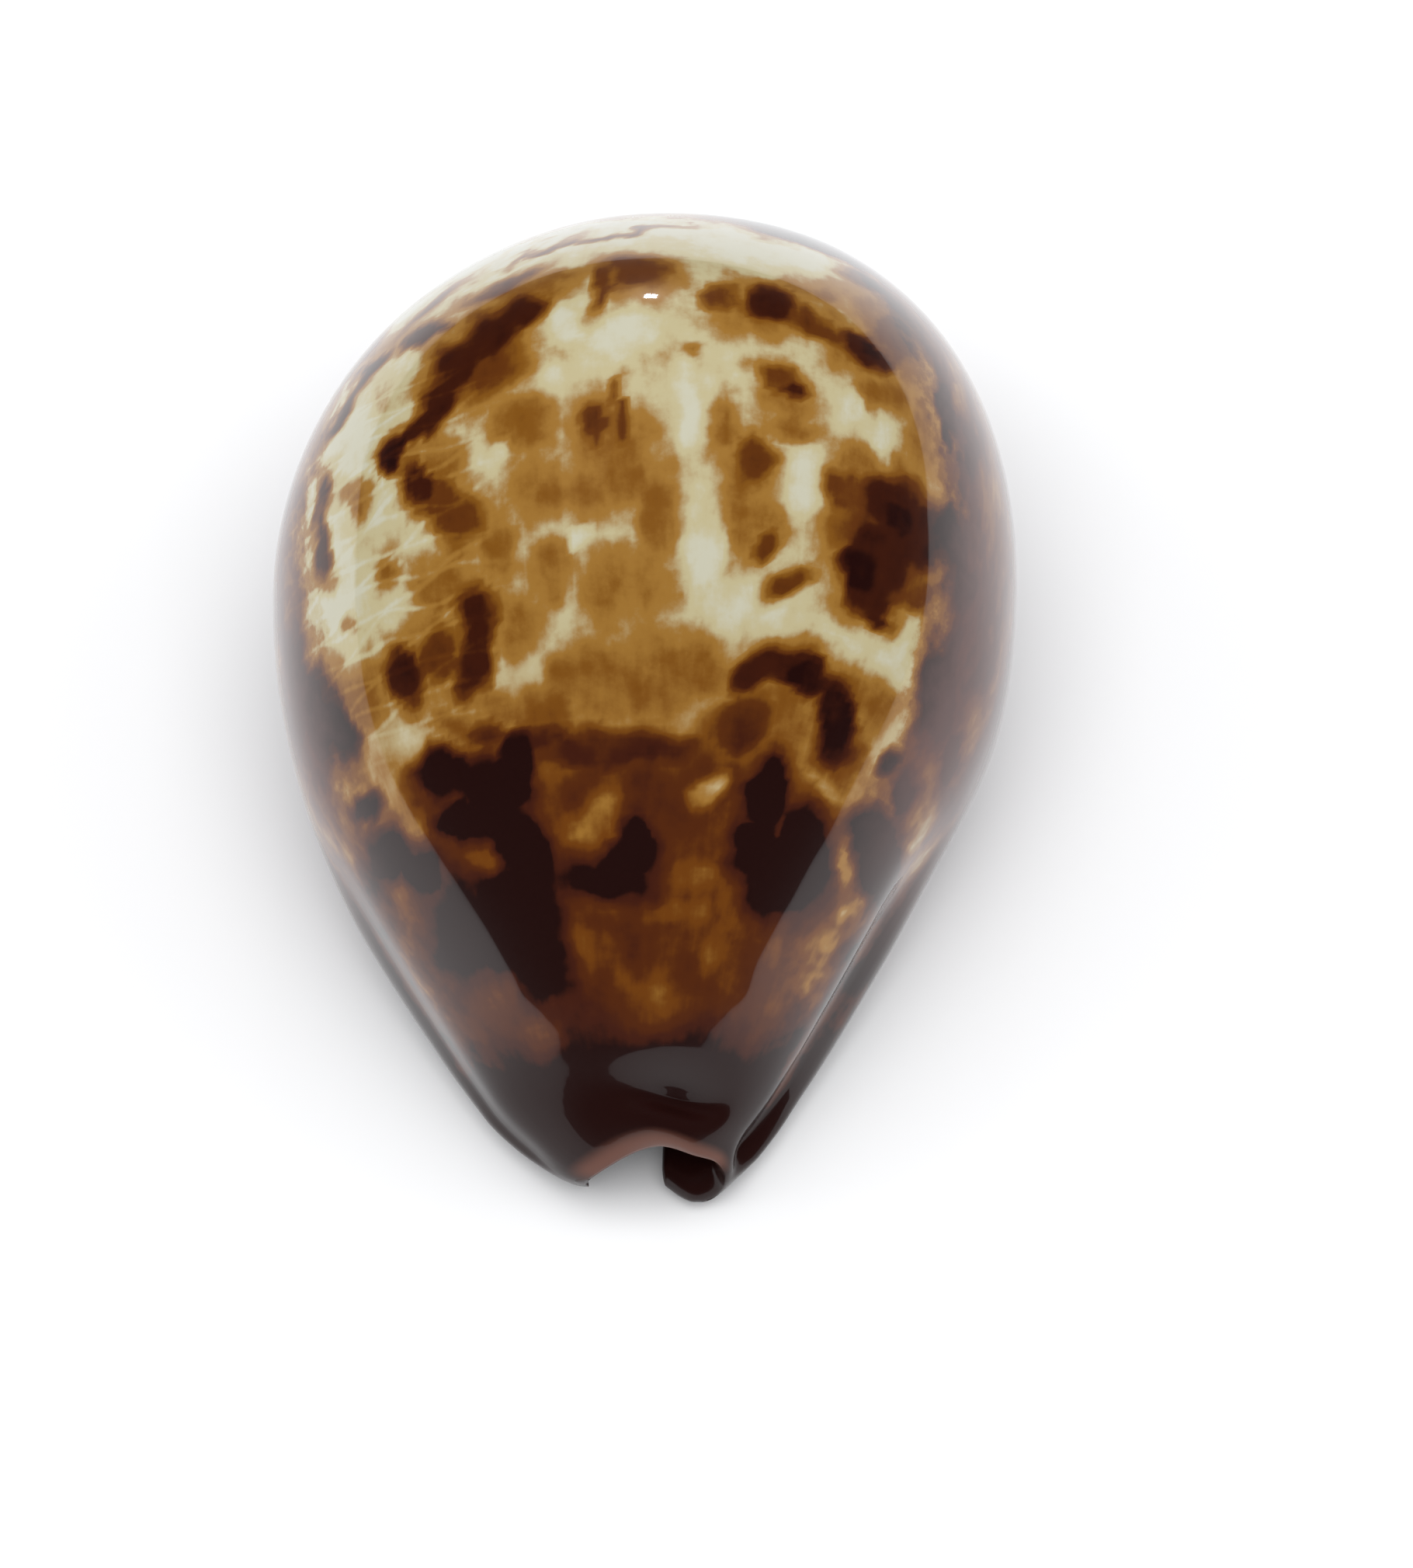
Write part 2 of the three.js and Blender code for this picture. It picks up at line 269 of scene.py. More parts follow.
@lru_cache(None)
def lipFrame(y):
    full = smooth(0, lipNose["canalLength"], endDistance(y))
    fold = smooth(lipNose["foldFrom"], lipNose["foldFull"], cavityShare(y))
    flare = lip["flare"] * smooth(lip["flareFrom"], form["frontEnd"], y)
    return {
        "left": line["slit"](y) - line["gap"](y) - flare,
        "right": line["slit"](y) + line["gap"](y),
        "leftNose": mix(lipNose["canal"], mix(lipNose["leftThin"], lipNose["leftFull"], fold), full),
        "rightNose": mix(lipNose["canal"], mix(lipNose["rightThin"], lipNose["rightFull"], fold), full),
        "fold": fold,
    }


def grooveAt(y):  # how deep the grooves between the teeth are cut at y
    first, last = teeth["first"], teeth["last"]
    phase = (y - first) / (last - first) * teeth["count"]
    ends = smooth(first - teeth["fadeOutside"], first + teeth["fadeInside"], y)
    ends *= smooth(last + teeth["fadeOutside"], last - teeth["fadeInside"], y)
    return teeth["depth"] * ends * (0.5 - 0.5 * math.cos(2 * math.pi * phase))


def outerPoint(y, a):  # a runs from -2 at the outer lip, over 0 on top, to 2 at the inner lip
    outline = outerFrame(y)
    lips = lipFrame(y)
    under = undersideAt(y)
    side = outline["left"] if a < 0 else outline["right"]
    if abs(a) <= 1:
        out, up = quarter((1 - abs(a)) * math.pi / 2, line["power"](y))
        x = mix(outline["topX"], side, out)
        z = mix(outline["waist"], outline["top"], up)
        hollow = bump(y, rimHollow["y"], rimHollow["along"]) * bump(x, rimHollow["x"], rimHollow["across"])
        z -= rimHollow["depth"] * hollow
    else:
        edge = lips["left"] - lips["leftNose"] if a < 0 else lips["right"] + lips["rightNose"]
        out, down = quarter((abs(a) - 1) * math.pi / 2, form["undersidePower"])
        x = mix(edge, side, out)
        z = max(mix(outline["waist"], under - form["flat"], down), under)
        z += grooveAt(y) * smooth(teeth["leftReach"] if a < 0 else teeth["rightReach"], 2, abs(a))
    nearRim = smooth(form["frontEnd"], rimRidge["full"], y)
    ridge = bump(a, rimRidge["place"], rimRidge["width"])
    z += smooth(rimRidge["from"], rimRidge["full"], y) * nearRim * rimRidge["height"] * ridge
    for at, width, push in frontMargins["pushes"]:
        x += smooth(frontMargins["from"], frontMargins["full"], y) * nearRim * push * bump(a, at, width)
    return x, z


def lipPoint(y, side, t):  # round a lip's edge, from the underside at 0 up to the inside at 1
    lips = lipFrame(y)
    under = undersideAt(y)
    floor = innerFrame(y)["floor"]
    nose = lips["rightNose"] if side > 0 else lips["leftNose"]
    edge = lips["right"] if side > 0 else lips["left"]
    cut = grooveAt(y)
    half = t * math.pi
    fold = lips["fold"] if side > 0 else 0
    x = mix(nose - nose * math.sin(half), nose - nose * math.sin(half / 2), fold)
    z = mix((floor - under) * (1 - math.cos(half)) / 2, lip["rise"] * (1 - math.cos(half / 2)), fold)
    left = cut * (1 - smooth(lip["grooveFade"], 1, t))
    return edge + side * (x + left * math.sin(half)), under + z + left * math.cos(half / 2)


def innerPoint(y, a):
    inside = innerFrame(y)
    lips = lipFrame(y)
    whorlAngle = math.asin(wall["whorl"] * cavityShare(y) ** 2)
    side = inside["left"] if a < 0 else inside["right"]

    def wallPoint(angle):
        out, up = quarter(angle, line["power"](y))
        return mix(inside["topX"], side, out), mix(inside["waist"], inside["top"], up)

    if abs(a) <= 1:
        return wallPoint(mix(math.pi / 2, 0 if a < 0 else whorlAngle, abs(a)))
    out, down = quarter((abs(a) - 1) * math.pi / 2, form["floorPower"])
    edge = lips["left"] - lips["leftNose"] if a < 0 else lips["right"] + lips["rightNose"]
    hollow = (mix(edge, side, out), mix(inside["waist"], inside["floor"], down))
    if a < 0:
        return hollow
    meet = wallPoint(whorlAngle)
    turn = (2 - a) * math.pi / 2
    start = undersideAt(y) + lip["rise"]
    whorl = (mix(lips["right"], meet[0], 1 - math.cos(turn)), mix(start, meet[1], math.sin(turn)))
    return mix(hollow[0], whorl[0], lips["fold"]), mix(hollow[1], whorl[1], lips["fold"])


def placeRound(i):  # column i's place a, how far round a lip's edge it is, and 1 where it is inside
    half = 2 * (grid["lower"] + grid["upper"])
    lipSteps = grid["lip"]

    def spread(k):
        k -= grid["lower"]
        if 0 <= k <= 2 * grid["upper"]:
            return k / grid["upper"] - 1
        beyond = -k if k < 0 else k - 2 * grid["upper"]
        a = 2 - (1 - beyond / grid["lower"]) ** grid["lipCrowding"]
        return -a if k < 0 else a

    if i <= half:
        return spread(i), None, 0
    if i < half + lipSteps:
        return 2, (i - half) / lipSteps, 0
    if i <= 2 * half + lipSteps:
        return spread(2 * half + lipSteps - i), None, 1
    return -2, 1 - (i - 2 * half - lipSteps) / lipSteps, 0


def placeAlong(j):  # row j's place along the length
    first, last = teeth["first"], teeth["last"]
    steps = teeth["count"] * grid["perTooth"]
    if j < grid["front"]:
        return form["frontEnd"] + (first - form["frontEnd"]) * (j / grid["front"]) ** grid["endCrowding"]
    if j <= grid["front"] + steps:
        return mix(first, last, (j - grid["front"]) / steps)
    left = (grid["front"] + steps + grid["back"] - j) / grid["back"]
    return form["backEnd"] - (form["backEnd"] - last) * left ** grid["endCrowding"]


def surfacePoint(y, a, t, inside):
    rim = rimShare(y)
    rimX, rimZ = outerPoint(y, a)
    if t is not None:
        x, z = lipPoint(y, a / 2, t)
    elif inside:
        x, z = innerPoint(y, a)
    else:
        x, z = rimX, rimZ
    x, z = mix(x, rimX, rim), mix(z, rimZ, rim)
    back = y + smooth(notchFrom["front"], form["frontEnd"], y) * notchLine["front"](a)
    back -= smooth(notchFrom["back"], form["backEnd"], y) * notchLine["back"](a)
    if t is None and not inside:
        mound = bump(x, spire["x"], spire["radius"]) * bump(z, spire["z"], spire["radius"])
        back += spire["height"] * mound * smooth(spire["from"], spire["full"], back) * (1 - rim)
    return Vector((x + form["shift"][0], back + form["shift"][1], z)) * mm


def makeShell():
    columns = 4 * (grid["lower"] + grid["upper"]) + 2 * grid["lip"]
    rows = teeth["count"] * grid["perTooth"] + grid["front"] + grid["back"]
    bm = bmesh.new()
    bmesh.ops.create_grid(bm, x_segments=columns, y_segments=rows, size=1)
    place = bm.verts.layers.float_vector.new("place")
    for v in bm.verts:
        i = round((v.co.x + 1) / 2 * columns)
        y = placeAlong(round((v.co.y + 1) / 2 * rows))
        a, t, inside = placeRound(i)
        within = inside * (1 - rimShare(y)) * smooth(2, grid["liningEdge"], abs(a))
        point = surfacePoint(y, a, t, inside)
        v.co = [min(max(c, low), high) for c, low, high in zip(point, *cadBounds)]
        v[place] = (a, y, within)
    bmesh.ops.remove_doubles(bm, verts=bm.verts, dist=grid["seamGap"])
    bmesh.ops.dissolve_degenerate(bm, dist=grid["shortEdge"], edges=bm.edges)
    bmesh.ops.recalc_face_normals(bm, faces=bm.faces)
    mesh = bpy.data.meshes.new("cowrieShell")
    bm.to_mesh(mesh)
    print("open edges", sum(e.is_boundary for e in bm.edges), "faces", len(bm.faces))
    print("volume in cubic centimetres", bm.calc_volume() * 1e6)
    bm.free()
    mesh.shade_smooth()
    shell = bpy.data.objects.new("cowrieShell", mesh)
    bpy.context.scene.collection.objects.link(shell)
    return shell


shell = makeShell()
print("shell made")

# The camera: 60 degrees above the table, looking along the length from the front end.
photo = {
    "width": 1820,
    "height": 2019,
    "elevation": 60,
    "azimuth": 1.5,
    "distance": 0.24,
    "focalPixels": 5775,
    "target": (0.0, 0.00045, 0.012),
    "targetPixel": (835, 829.5),  # where the target shows in the picture
    "sensor": 36,
    "nearest": 0.01,
}


def makeCamera():
    sideTurn = Matrix.Rotation(math.radians(photo["azimuth"]), 3, "Z")
    turn = sideTurn @ Matrix.Rotation(math.radians(-photo["elevation"]), 3, "X")
    right, away, up = turn.col[0], -turn.col[1], turn.col[2]
    scale = photo["distance"] / photo["focalPixels"]
    across = (photo["width"] / 2 - photo["targetPixel"][0]) * scale
    down = (photo["height"] / 2 - photo["targetPixel"][1]) * scale
    target = Vector(photo["target"])
    aim = target + right * across - up * down
    data = bpy.data.cameras.new("camera")
    data.sensor_fit = "AUTO"
    data.sensor_width = photo["sensor"]
    data.lens = photo["focalPixels"] * photo["sensor"] / photo["height"]
    data.clip_start = photo["nearest"]
    camera = bpy.data.objects.new("camera", data)
    camera.location = target + away * photo["distance"]
    camera.rotation_euler = (aim - camera.location).to_track_quat("-Z", "Y").to_euler()
    bpy.context.scene.collection.objects.link(camera)
    bpy.context.scene.camera = camera
    bpy.context.view_layer.update()
    return camera


camera = makeCamera()
print("camera placed")

# Markings, as seen in the view above: (across, down, half width, half height, turn clockwise) in pixels of
# the 1820 x 2019 picture. Each is carried from the camera onto the shell. The density runs from 0, cream,
# to 1, black.
markings = {
    "nearBlack": {"density": 0.97, "edge": 0.4, "spots": [
        (505, 587, 22, 22, 0), (570, 1000, 40, 34, 0), (636, 1014, 50, 40, 0), (668, 975, 24, 44, 8),
        (690, 1120, 26, 74, -14), (600, 1060, 34, 24, 0), (664, 1180, 30, 46, -20),
        (992, 1015, 30, 48, 12), (1030, 1095, 34, 66, 0), (975, 1090, 28, 34, 10), (800, 1085, 30, 40, 10),
        (1042, 874, 36, 32, 20), (1082, 928, 28, 60, -4), (1107, 741, 32, 36, 10), (1205, 690, 24, 44, 14),
        (1158, 663, 30, 24, 30), (1128, 453, 18, 14, 26), (450, 950, 20, 44, -12), (475, 1046, 18, 24, 0),
        (1222, 568, 7, 22, -8),
    ]},
    "dark": {"density": 0.84, "edge": 0.5, "spots": [
        (668, 404, 34, 26, -46), (626, 440, 50, 38, -46), (586, 476, 54, 38, -48), (562, 516, 28, 32, -30),
        (552, 548, 26, 20, -40), (530, 568, 20, 16, -40), (552, 436, 38, 10, -27), (478, 478, 11, 44, 42),
        (440, 530, 10, 44, 32), (545, 432, 34, 12, -30), (548, 618, 30, 28, 20), (421, 636, 14, 28, 10),
        (990, 394, 40, 26, 8), (1122, 453, 38, 22, 26), (1030, 306, 84, 15, 15), (1092, 330, 26, 12, 20),
        (1030, 498, 20, 14, 10), (1150, 650, 56, 44, 30), (1180, 690, 70, 52, 24), (1135, 720, 60, 44, 60),
        (1115, 760, 42, 46, -10), (1125, 800, 18, 18, 0), (604, 845, 24, 64, 4), (600, 790, 26, 40, 0),
        (525, 870, 30, 50, -12), (963, 862, 38, 28, -30), (1008, 850, 54, 28, 0), (1082, 960, 26, 44, 0),
        (1205, 895, 28, 64, -4), (1216, 985, 18, 40, 4), (1117, 1072, 34, 24, 0), (1136, 1110, 24, 40, 0),
        (1148, 978, 13, 15, 0), (545, 1120, 28, 28, 0), (1010, 1140, 44, 50, 0), (640, 1075, 44, 30, 0),
        (690, 1230, 34, 64, -24), (640, 1190, 44, 60, -10), (790, 1110, 24, 24, 0), (418, 700, 8, 46, 2),
        (1249, 585, 6, 34, -8), (422, 920, 42, 70, -12), (500, 1110, 34, 40, 0), (590, 1190, 34, 60, -20),
        (1165, 1035, 16, 22, 0), (1222, 520, 8, 40, -8),
    ]},
    "brown": {"density": 0.64, "edge": 0.6, "spots": [
        (622, 470, 70, 50, -46), (566, 632, 54, 38, 40), (594, 658, 38, 36, 0), (925, 386, 28, 24, 0),
        (1060, 425, 44, 20, 30), (1008, 488, 40, 26, 14), (970, 600, 32, 36, 0), (762, 548, 16, 34, 6),
        (800, 530, 8, 50, 0), (815, 350, 50, 26, 0), (770, 372, 16, 34, 0), (650, 366, 60, 14, -26),
        (560, 392, 60, 8, -34), (790, 960, 110, 28, 0), (700, 945, 34, 22, 0), (960, 925, 50, 34, 0),
        (1010, 756, 30, 18, -24), (985, 706, 24, 18, -20), (1090, 630, 46, 30, 34), (1190, 760, 34, 30, 0),
        (1235, 740, 20, 60, 0), (1150, 700, 104, 64, 24), (1110, 360, 34, 22, 26),
        (1150, 440, 34, 40, -20), (604, 775, 34, 40, 0), (565, 850, 20, 50, 0), (780, 1125, 50, 30, 0),
        (408, 660, 8, 60, 0), (624, 948, 34, 18, 0), (385, 880, 20, 80, -10), (790, 300, 90, 5, -8),
        (700, 318, 50, 6, -22),
    ]},
    "golden": {"density": 0.42, "edge": 0.9, "spots": [
        (670, 560, 52, 58, 0), (790, 580, 74, 90, 0), (810, 760, 74, 66, 0), (820, 862, 140, 66, 0),
        (720, 866, 46, 44, 0), (850, 650, 34, 76, 0), (820, 358, 76, 42, 0), (700, 372, 80, 24, -12),
        (960, 400, 80, 46, 10), (1090, 440, 80, 40, 30), (1060, 380, 60, 24, 20), (1140, 510, 40, 38, -20),
        (894, 453, 16, 18, 0), (1020, 512, 56, 46, 10), (1030, 558, 46, 30, 0), (970, 610, 52, 56, 0),
        (966, 680, 62, 52, 0), (1105, 606, 56, 40, 30), (690, 640, 46, 60, 0), (715, 740, 46, 50, 0),
        (752, 640, 40, 56, 0), (660, 800, 50, 50, 0), (640, 700, 30, 50, 0), (930, 560, 18, 60, 8),
        (1184, 560, 28, 100, -6), (1150, 690, 112, 100, 10), (1130, 400, 50, 60, -26),
        (1170, 480, 34, 60, -20), (575, 755, 62, 50, 0), (596, 700, 28, 36, 0), (570, 600, 66, 50, 30),
        (560, 850, 72, 72, 0), (800, 1010, 120, 50, 0), (930, 1000, 66, 46, 0), (1000, 900, 96, 70, 0),
        (1131, 910, 34, 40, 0), (890, 860, 70, 56, 0), (460, 640, 22, 24, 0), (499, 738, 18, 20, 0),
        (446, 800, 12, 14, 0), (520, 425, 60, 14, -34), (465, 905, 44, 56, 0), (548, 469, 14, 12, 0),
        (690, 905, 44, 36, 0), (640, 912, 36, 26, 0), (588, 935, 52, 22, 0),
    ]},
    "tan": {"density": 0.2, "edge": 0.8, "spots": [
        (490, 700, 50, 76, 0), (470, 830, 54, 46, -14), (510, 510, 40, 36, -40), (870, 470, 60, 50, 0),
        (1190, 860, 40, 54, 0), (620, 720, 36, 36, 0), (700, 450, 44, 22, 0), (500, 960, 50, 56, 0),
        (1240, 700, 24, 160, 0), (1160, 1010, 40, 40, 0), (560, 930, 36, 44, 0), (905, 560, 26, 80, 0),
    ]},
}
clearings = {"density": 0.8, "edge": 0.6, "spots": [
    (768, 1050, 24, 52, 24), (915, 1012, 32, 20, -30), (520, 958, 26, 18, -30), (1172, 1072, 8, 36, 12),
    (632, 584, 20, 24, 0), (1048, 628, 20, 46, 12), (888, 520, 17, 56, 0), (905, 706, 22, 50, 10),
    (744, 700, 12, 16, 0), (1136, 565, 16, 22, 0), (1104, 528, 14, 18, 0), (925, 770, 34, 26, 0),
    (622, 1112, 24, 26, 0), (1087, 1116, 10, 30, 0),
]}
windows = {"density": 0.22, "edge": 0.8, "spots": [  # amber patches where the dark front is thin
    (625, 1106, 20, 24, 0), (1074, 1020, 14, 16, 0), (1087, 1116, 11, 34, 0), (530, 1075, 11, 12, 0),
    (866, 1172, 46, 20, 0), (754, 1232, 26, 24, 20), (806, 1262, 40, 16, 26), (946, 1165, 14, 44, -8),
    (634, 1272, 26, 30, 0), (576, 1164, 30, 22, 0), (706, 1340, 24, 22, 0), (1010, 1208, 16, 34, 8),
    (900, 1125, 44, 18, 0), (970, 1195, 10, 30, -20), (840, 1300, 40, 40, 0), (436, 1022, 12, 24, 0),
    (1036, 1230, 20, 50, 0), (720, 1300, 16, 24, 0), (780, 1160, 24, 18, 0), (925, 1230, 16, 30, 0),
    (1100, 1180, 24, 30, 0), (520, 1160, 24, 24, 0), (1140, 1030, 14, 24, 0), (480, 1090, 14, 20, 0),
    (768, 1048, 24, 50, 24), (915, 1010, 32, 20, -30),
]}


def fromScreen(red, green, blue):  # a colour as a screen shows it, 0 to 255, for the shader
    def one(value):
        value = value / 255
        return value / 12.92 if value <= 0.04045 else ((value + 0.055) / 1.055) ** 2.4

    return (one(red), one(green), one(blue), 1)


class Nodes:
    def __init__(self, tree):
        self.tree = tree

    def add(self, kind, **settings):
        node = self.tree.nodes.new(kind)
        for name, value in settings.items():
            setattr(node, name, value)
        return node

    def put(self, value, socket):
        if isinstance(value, bpy.types.NodeSocket):
            self.tree.links.new(value, socket)
        else:
            socket.default_value = value

    def fill(self, node, **values):
        for name, value in values.items():
            self.put(value, node.inputs[name])

    def math(self, operation, a, b=0.0, clamp=False):
        node = self.add("ShaderNodeMath", operation=operation, use_clamp=clamp)
        self.put(a, node.inputs[0])
        self.put(b, node.inputs[1])
        return node.outputs[0]

    def total(self, first, *others, clamp=False):
        for other in others:
            first = self.math("ADD", first, other, clamp and other is others[-1])
        return first

    def product(self, first, *others):
        for other in others:
            first = self.math("MULTIPLY", first, other)
        return first

    def span(self, value, start, end, low=0.0, high=1.0):  # low at start, a smooth change, high at end
        node = self.add("ShaderNodeMapRange", interpolation_type="SMOOTHSTEP", clamp=False)
        ends = {"From Min": start, "From Max": end, "To Min": low, "To Max": high}
        self.fill(node, Value=value, **ends)
        return node.outputs["Result"]

    def attribute(self, name, output):
        return self.add("ShaderNodeAttribute", attribute_name=name).outputs[output]

    def stretch(self, vector, scale):
        node = self.add("ShaderNodeMapping")
        self.fill(node, Vector=vector, Scale=scale)
        return node.outputs["Vector"]

    def noise(self, vector, scale, detail=2.0, roughness=0.5):
        node = self.add("ShaderNodeTexNoise")
        self.fill(node, Vector=vector, Scale=scale, Detail=detail, Roughness=roughness)
        return node.outputs["Fac"]

    def ramp(self, value, stops):
        node = self.add("ShaderNodeValToRGB")
        node.color_ramp.interpolation = "EASE"
        elements = node.color_ramp.elements
        while len(elements) < len(stops):
            elements.new(0.5)
        for element, (place, colour) in zip(elements, stops):
            element.position = place
            element.color = fromScreen(*colour)
        self.put(value, node.inputs["Fac"])
        return node.outputs["Color"]

    def blend(self, share, a, b):
        node = self.add("ShaderNodeMix", data_type="RGBA")
        self.fill(node, Factor=share, A=a, B=b)
        return node.outputs["Result"]


# How a marking spreads: its edges wander, a halo lies round it, and it reaches away from the camera.
markSpread = {
    "seed": 5,
    "waves": [(0.2, 0.7), (0.6, 0.5), (1.6, 0.2)],  # waves per mm, push in mm
    "depth": 2,  # in larger half sizes
    "moreDepth": 2,  # in mm
    "halo": 0.5,  # share of the density
    "haloFrom": 2,  # in half sizes
    "haloFull": 0.8,
    "farthest": 8,  # in mm
}


def markPlaces(tree, spots):
    turn = camera.matrix_world.to_3x3()
    eye = camera.matrix_world.translation
    places = []
    for across, down, halfWidth, halfHeight, tilt in spots:
        ray = Vector((across - photo["width"] / 2, photo["height"] / 2 - down, -photo["focalPixels"]))
        hit, _, _, distance = tree.ray_cast(eye, (turn @ ray).normalized())
        if hit is None:
            print("no shell behind the marking at", across, down)
            continue
        perPixel = distance / ray.length
        axes = turn @ Matrix.Rotation(-math.radians(tilt), 3, "Z")
        deep = markSpread["depth"] * max(halfWidth, halfHeight) * perPixel + markSpread["moreDepth"] * mm
        places.append((hit, axes, Vector((halfWidth * perPixel, halfHeight * perPixel, deep))))
    return places


def wanderedPlaces(vertices):
    noise.seed_set(markSpread["seed"])
    wandered = KDTree(len(vertices))
    for v in vertices:
        push = Vector()
        for fineness, size in markSpread["waves"]:
            push += noise.noise_vector(v.co / mm * fineness) * size
        wandered.insert(v.co + push * mm, v.index)
    wandered.balance()
    return wandered


def reachOf(kind, tree, wandered):  # how far each vertex is from the nearest marking, in half sizes
    reach = {}
    for centre, axes, size in markPlaces(tree, kind["spots"]):
        back = axes.transposed()
        radius = min(max(size) * markSpread["haloFrom"], markSpread["farthest"] * mm)
        for co, index, _ in wandered.find_range(centre, radius):
            local = back @ (co - centre)
            length = Vector((local.x / size.x, local.y / size.y, local.z / size.z)).length
            reach[index] = min(length, reach.get(index, length))
    return reach


def layPigment(shell):
    mesh = shell.data
    tree = BVHTree.FromObject(shell, bpy.context.evaluated_depsgraph_get())
    wandered = wanderedPlaces(mesh.vertices)
    pigment = [0.0] * len(mesh.vertices)
    for kind in [*markings.values(), clearings, windows]:
        density = kind["density"]
        for index, length in reachOf(kind, tree, wandered).items():
            share = smooth(1 + kind["edge"], 1 - kind["edge"], length)
            if kind is clearings:
                pigment[index] *= 1 - density * share
            elif kind is windows:
                pigment[index] -= density * share
            else:
                near = smooth(markSpread["haloFrom"], markSpread["haloFull"], length)
                pigment[index] = max(pigment[index], density * share, markSpread["halo"] * density * near)
    mesh.attributes.new("pigment", "FLOAT", "POINT").data.foreach_set("value", pigment)


layPigment(shell)
print("markings laid")


# Spans are (start, end, low, high). Those named along are in millimetres of length, the others in places
# round the shell.
glazeLook = {
    "streaks": {
        "fine": (9, 0.16, 0),
        "finer": (26, 0.3, 0),
        "finerShare": 0.35,
        "detail": 3,
        "roughness": 0.6,
    },
    "growth": {
        "lines": [(2.0, 1.3, 0.16), (-9.0, 2.1, 0.12)],  # slant, spacing, width
        "bendScale": 0.12,
        "bend": 3.0,
        "side": (-0.2, -0.34),
        "frontAlong": (-12, -8),
        "backAlong": (9, 4),
    },
    "clouding": {"scale": 0.5, "detail": 5, "roughness": 0.6},
    "patching": {"scale": 0.3, "detail": 3, "roughness": 0.6, "stretch": (1, 0.5, 1)},
    "margin": {"lean": 0.08, "wander": 0.16, "widenAlong": (2, 22, 0.0, 0.2)},
    "rearWander": 3.0,
    "pigment": {  # what each part adds to the density
        "frontAlong": (-9, -18, 0.0, 0.62),
        "cloud": 0.34,
        "streak": 0.42,
        "margin": [(0.57, 0.71, 0.0, 0.58), (0.88, 1.05, 0.0, 0.3)],
        "marginAlong": (-16, -6, 0.1, 1.0),
        "underside": (1.0, 1.12, 0.0, 0.55),
        "teeth": (1.9, 1.97, 0.0, -0.4),
        "patchedSides": (0.55, 0.75, 0.0, 1.7),
        "patchedAlong": (-9, -13, 0.0, 0.5),
        "rearAlong": [(16.5, 19.5, 0.0, 0.4), (21.5, 24.5, 0.0, 0.5)],
        "growth": -0.08,
        "tipAlong": (-21, -25, 0.0, 0.6),
    },
    "back": [  # density, colour
        (0.0, (188, 185, 164)), (0.14, (181, 170, 132)), (0.3, (148, 106, 44)), (0.46, (120, 75, 18)),
        (0.62, (90, 46, 10)), (0.8, (56, 21, 8)), (1.0, (32, 9, 7)),
    ],
    "front": [
        (0.0, (186, 166, 122)), (0.2, (150, 106, 42)), (0.42, (106, 58, 12)), (0.6, (80, 37, 12)),
        (0.8, (64, 27, 15)), (1.0, (33, 13, 11)),
    ],
    "frontAlong": (-6, -15),
    # A painted sheen: the mauve-brown tint the flanks' margins show where the glaze mirrors the pale floor.
    "paintedSheen": {"colour": (112, 76, 72), "margin": (0.58, 0.76, 0.0, 0.42), "along": (-17, -8)},
    # The rim's colour is a painted highlight: a thin pinkish line along the top of the front end's edge.
    "rim": {"colour": (150, 98, 80), "round": (1.0, 0.7, 0.0, 0.4), "along": (-27.2, -27.75)},
    "lining": {
        "colours": [(0.3, (196, 186, 196)), (0.7, (222, 214, 214))],
        "scale": 0.35,
        "frontAlong": (-20, -14),
        "backAlong": (23, 18),
    },
    "gloss": {"Roughness": 0.3, "Specular IOR Level": 0.12, "Coat Roughness": 0.035, "Coat IOR": 1.5},
    "coatAlong": (-19, -25, 1.0, 0.35),  # the front end is duller
    "ripples": {"stretch": (6, 0.2, 0), "strength": 0.25, "height": 0.00006},
}


def centred(n, *noiseSettings):  # noise that swings both ways from 0
    return n.math("SUBTRACT", n.noise(*noiseSettings), 0.5)


def growthLines(n, spot, around, along):  # pale lines that cross each other on the outer-lip side
    look = glazeLook["growth"]
    bend = n.product(centred(n, spot, look["bendScale"]), look["bend"])
    lines = []
    for slant, spacing, width in look["lines"]:
        phase = n.product(n.total(along, n.product(around, slant), bend), 1 / spacing)
        lines.append(n.span(n.math("PINGPONG", phase, 0.5), width, 0.0))
    netting = n.product(n.math("MAXIMUM", *lines), n.span(around, *look["side"]))
    ends = n.product(n.span(along, *look["frontAlong"]), n.span(along, *look["backAlong"]))
    return n.product(netting, ends)


def streaking(n, place):  # streaks run along the shell: fine across, long lengthwise
    look = glazeLook["streaks"]
    fine, finer = [
        n.noise(n.stretch(place, look[name]), 1.0, look["detail"], look["roughness"])
        for name in ("fine", "finer")
    ]
    both = n.total(n.product(fine, 1 - look["finerShare"]), n.product(finer, look["finerShare"]))
    return n.math("SUBTRACT", both, 0.5)


def marginPlace(n, cloud, around, along):  # the places round the shell that the margins' edges follow
    look = glazeLook["margin"]
    leaning = n.product(around, look["lean"])
    margin = n.total(n.math("ABSOLUTE", around), leaning, n.product(cloud, look["wander"]))
    return n.total(margin, n.span(along, *look["widenAlong"]))


